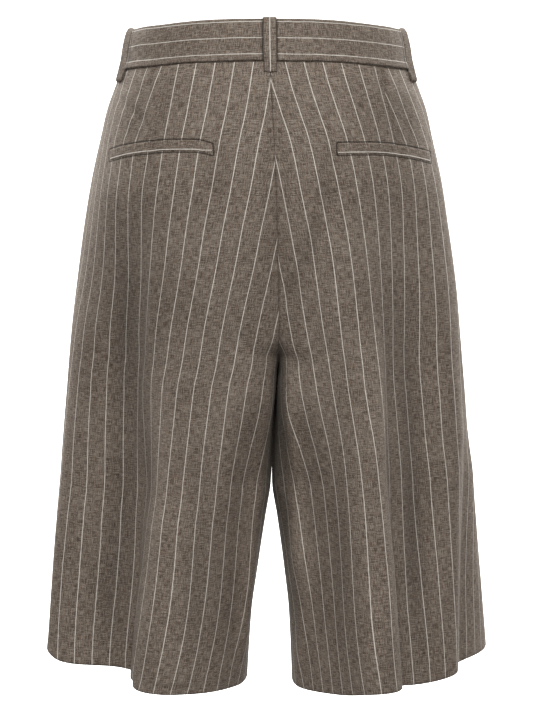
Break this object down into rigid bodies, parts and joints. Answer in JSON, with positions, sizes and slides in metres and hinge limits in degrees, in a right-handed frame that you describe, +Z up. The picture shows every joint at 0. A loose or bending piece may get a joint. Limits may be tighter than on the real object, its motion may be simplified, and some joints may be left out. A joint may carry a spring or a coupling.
{
  "type": "bermuda shorts",
  "caption": "Long wide-legged tailored shorts with a waistband, self-cloth belt in loops, back welt pockets and soft folds down the legs.",
  "frame": {"origin": "middle of the waist opening, level with the top edge of the waistband at the centre back", "axes": "+Z up towards the waist, -Y the front of the garment, +Y the back, +X the wearer's left"},
  "size_m": [0.4374, 0.224, 0.6443],
  "materials": {
    "cloth": "matte woven suiting with a fine light pinstripe",
    "trim_cloth": "the same suiting, made up as belt, loops and welts"
  },
  "bodies": {
    "root": {"back_left": "cloth", "back_right": "cloth", "front_left": "cloth", "front_right": "cloth", "waistband_left": "cloth", "waistband_right": "cloth", "fly_lap": "cloth", "belt": "trim_cloth", "belt_end": "trim_cloth", "buckle": "trim_cloth", "loop_back": "trim_cloth", "loop_side_left": "trim_cloth", "loop_side_right": "trim_cloth", "loop_front_left": "trim_cloth", "loop_front_right": "trim_cloth", "welt_back_left": "trim_cloth", "welt_back_right": "trim_cloth"}
  },
  "joints": []
}
